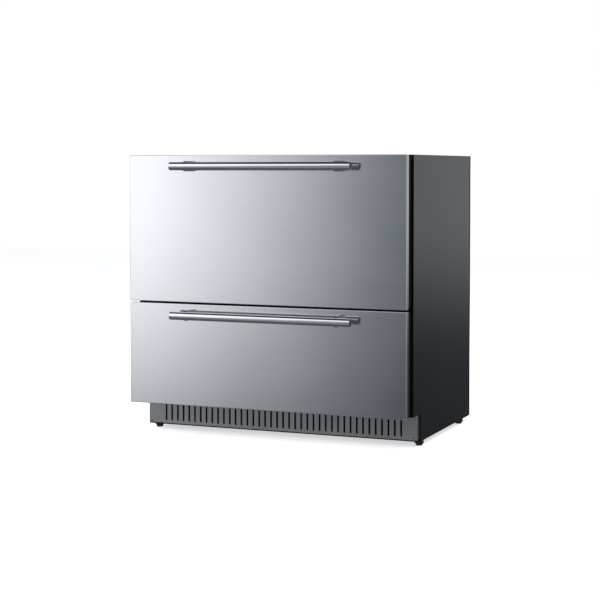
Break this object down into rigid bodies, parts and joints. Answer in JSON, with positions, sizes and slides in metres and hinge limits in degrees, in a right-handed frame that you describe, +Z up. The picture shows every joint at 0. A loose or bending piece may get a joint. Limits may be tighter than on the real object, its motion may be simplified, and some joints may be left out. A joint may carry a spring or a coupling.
{
  "type": "under counter drawer refrigerator",
  "caption": "Wide under-counter refrigerator with stacked stainless drawer fronts, round bar handles, a slotted kick grille, a black cabinet and levelling feet",
  "frame": {"origin": "on the floor, at the centre of the footprint, handles included", "axes": "+Z up, +X to the right when facing the drawers, and the drawers face and open towards -Y"},
  "size_m": [0.9, 0.7096, 0.866],
  "materials": {
    "brushed_stainless": "satin stainless sheet with a fine horizontal grain",
    "polished_stainless": "fine satin stainless, close to polished",
    "grille_stainless": "satin stainless sheet, darker than the fronts",
    "cabinet_black": "semi-gloss black powder coat on steel sheet",
    "zinc_steel": "bare zinc-plated steel sheet",
    "trim_black": "satin black moulded plastic",
    "gasket_rubber": "matte black magnetic gasket",
    "foot_plastic": "matte black moulded plastic",
    "liner_white": "smooth white vacuum-formed plastic",
    "foam_cream": "foamed-in-place insulation",
    "tub_grey": "light grey moulded drawer tub",
    "coil_aluminium": "bare aluminium fins",
    "compressor_black": "black enamel on a pressed steel shell",
    "copper": "bare drawn copper tube",
    "fan_plastic": "dark grey moulded plastic",
    "display_glass": "gloss black display window",
    "button_plastic": "grey moulded key caps",
    "lamp_lens": "opal lamp lens"
  },
  "bodies": {
    "cabinet": {"side_panel_left": "cabinet_black", "side_panel_right": "cabinet_black", "top_panel": "cabinet_black", "back_panel": "zinc_steel", "bottom_plate": "zinc_steel", "base_pan": "cabinet_black", "inner_liner": "liner_white", "foam_insulation": "foam_cream", "front_frame": "trim_black", "divider_rail": "trim_black", "kick_grille": "grille_stainless", "rear_cover": "zinc_steel", "cord_gland": "trim_black", "upper_slide_outer_left": "zinc_steel", "upper_slide_outer_right": "zinc_steel", "lower_slide_outer_left": "zinc_steel", "lower_slide_outer_right": "zinc_steel", "evaporator": "coil_aluminium", "evaporator_cover": "liner_white", "evaporator_fan_motor": "zinc_steel", "condenser": "coil_aluminium", "condenser_fan_motor": "zinc_steel", "compressor": "compressor_black", "compressor_plate": "zinc_steel", "drip_tray": "trim_black", "discharge_line": "copper", "control_housing": "trim_black", "control_display": "display_glass", "led_lamp": "lamp_lens"},
    "upper_drawer": {"upper_front_skin": "brushed_stainless", "upper_inner_panel": "trim_black", "upper_gasket": "gasket_rubber", "upper_handle_bar": "polished_stainless", "upper_handle_post_left": "polished_stainless", "upper_handle_post_right": "polished_stainless", "upper_tub": "tub_grey", "upper_slide_inner_left": "zinc_steel", "upper_slide_inner_right": "zinc_steel"},
    "upper_slide_middle": {"upper_slide_middle_left": "zinc_steel", "upper_slide_middle_right": "zinc_steel"},
    "lower_drawer": {"lower_front_skin": "brushed_stainless", "lower_inner_panel": "trim_black", "lower_gasket": "gasket_rubber", "lower_handle_bar": "polished_stainless", "lower_handle_post_left": "polished_stainless", "lower_handle_post_right": "polished_stainless", "lower_tub": "tub_grey", "lower_slide_inner_left": "zinc_steel", "lower_slide_inner_right": "zinc_steel"},
    "lower_slide_middle": {"lower_slide_middle_left": "zinc_steel", "lower_slide_middle_right": "zinc_steel"},
    "condenser_fan": {"condenser_fan_blade": "fan_plastic"},
    "evaporator_fan": {"evaporator_fan_blade": "fan_plastic"},
    "foot_front_left_body": {"foot_front_left": "foot_plastic"},
    "foot_front_right_body": {"foot_front_right": "foot_plastic"},
    "foot_rear_left_body": {"foot_rear_left": "foot_plastic"},
    "foot_rear_right_body": {"foot_rear_right": "foot_plastic"},
    "button_down_body": {"button_down": "button_plastic"},
    "button_up_body": {"button_up": "button_plastic"},
    "button_power_body": {"button_power": "button_plastic"}
  },
  "joints": [
    {"name": "upper_drawer_slide", "type": "slide", "parent": "cabinet", "child": "upper_drawer", "axis": [0, -1, 0], "range_m": [0, 0.43]},
    {"name": "upper_middle_slide", "type": "slide", "parent": "cabinet", "child": "upper_slide_middle", "axis": [0, -1, 0], "range_m": [0, 0.215]},
    {"name": "lower_drawer_slide", "type": "slide", "parent": "cabinet", "child": "lower_drawer", "axis": [0, -1, 0], "range_m": [0, 0.29]},
    {"name": "lower_middle_slide", "type": "slide", "parent": "cabinet", "child": "lower_slide_middle", "axis": [0, -1, 0], "range_m": [0, 0.145]},
    {"name": "condenser_fan_spin", "type": "hinge", "parent": "cabinet", "child": "condenser_fan", "pos_m": [-0.255, 0.23975, 0.128], "axis": [1, 0, 0], "continuous": true},
    {"name": "evaporator_fan_spin", "type": "hinge", "parent": "cabinet", "child": "evaporator_fan", "pos_m": [0, 0.25675, 0.665], "axis": [0, 1, 0], "continuous": true},
    {"name": "foot_front_left_thread", "type": "slide", "parent": "cabinet", "child": "foot_front_left_body", "axis": [0, 0, -1], "range_m": [0, 0.012]},
    {"name": "foot_front_right_thread", "type": "slide", "parent": "cabinet", "child": "foot_front_right_body", "axis": [0, 0, -1], "range_m": [0, 0.012]},
    {"name": "foot_rear_left_thread", "type": "slide", "parent": "cabinet", "child": "foot_rear_left_body", "axis": [0, 0, -1], "range_m": [0, 0.012]},
    {"name": "foot_rear_right_thread", "type": "slide", "parent": "cabinet", "child": "foot_rear_right_body", "axis": [0, 0, -1], "range_m": [0, 0.012]},
    {"name": "button_down_press", "type": "slide", "parent": "cabinet", "child": "button_down_body", "axis": [0, 1, 0], "range_m": [0, 0.001], "stiffness_N_per_m": 600},
    {"name": "button_up_press", "type": "slide", "parent": "cabinet", "child": "button_up_body", "axis": [0, 1, 0], "range_m": [0, 0.001], "stiffness_N_per_m": 600},
    {"name": "button_power_press", "type": "slide", "parent": "cabinet", "child": "button_power_body", "axis": [0, 1, 0], "range_m": [0, 0.001], "stiffness_N_per_m": 600}
  ],
  "couplings": [
    {"joint": "upper_middle_slide", "follows": "upper_drawer_slide", "ratio": 0.5},
    {"joint": "lower_middle_slide", "follows": "lower_drawer_slide", "ratio": 0.5}
  ]
}
